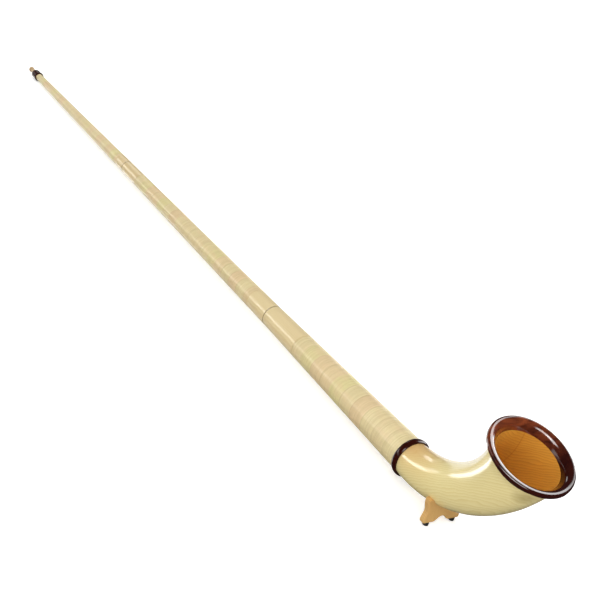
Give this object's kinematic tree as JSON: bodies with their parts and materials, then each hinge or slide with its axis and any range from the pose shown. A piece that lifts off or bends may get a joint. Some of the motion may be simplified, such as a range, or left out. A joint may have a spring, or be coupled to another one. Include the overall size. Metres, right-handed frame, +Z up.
{
  "type": "alphorn",
  "caption": "Long conical wooden horn in plug-together sections, wound with cane, with an upturned flared bell, dark turned rim and collar, mouthpiece, and a scalloped foot on rubber pads.",
  "frame": {"origin": "middle of the bounding box, on the surface that the foot's pads and the mouthpiece receiver stand on", "axes": "+X along the horn from the mouthpiece towards the bell, +Z up, +Y to the player's left"},
  "size_m": [3.73, 0.2256, 0.3827],
  "materials": {
    "pale_maple": "satin oiled turned maple",
    "varnished_spruce": "clear gloss varnish over pale straight-grained wood",
    "cane": "close turns of varnished cane",
    "dark_rosewood": "polished gloss",
    "foot_wood": "satin varnish",
    "mouthpiece_wood": "satin",
    "cork": "matt granular cork",
    "rubber": "matt",
    "steel_screw": "plain"
  },
  "bodies": {
    "bell_section": {"bell_tube_socket_bush": "pale_maple", "bell_tube_left_half": "varnished_spruce", "bell_tube_right_half": "varnished_spruce", "bell_tube_winding": "cane", "bell_collar": "dark_rosewood", "bell_left_half": "varnished_spruce", "bell_right_half": "varnished_spruce", "bell_rim": "dark_rosewood", "foot": "foot_wood", "foot_screws": "steel_screw", "foot_pads": "rubber", "pad_screws": "steel_screw"},
    "middle_section": {"middle_tube_socket_bush": "pale_maple", "middle_tube_left_half": "varnished_spruce", "middle_tube_right_half": "varnished_spruce", "middle_tube_winding": "cane", "middle_tube_tenon_bush": "pale_maple", "middle_tube_tenon_cork": "cork"},
    "hand_section": {"mouthpiece_receiver": "dark_rosewood", "hand_tube_left_half": "varnished_spruce", "hand_tube_right_half": "varnished_spruce", "hand_tube_winding": "cane", "hand_tube_tenon_bush": "pale_maple", "hand_tube_tenon_cork": "cork"},
    "mouthpiece": {"mouthpiece": "mouthpiece_wood"}
  },
  "joints": [
    {"name": "middle_section_pull", "type": "slide", "parent": "bell_section", "child": "middle_section", "axis": [-0.9998, 0, -0.0182], "range_m": [0, 0.085]},
    {"name": "hand_section_pull", "type": "slide", "parent": "middle_section", "child": "hand_section", "axis": [-0.9998, 0, -0.0182], "range_m": [0, 0.065]},
    {"name": "mouthpiece_pull", "type": "slide", "parent": "hand_section", "child": "mouthpiece", "axis": [-0.9998, 0, -0.0182], "range_m": [0, 0.044]}
  ]
}
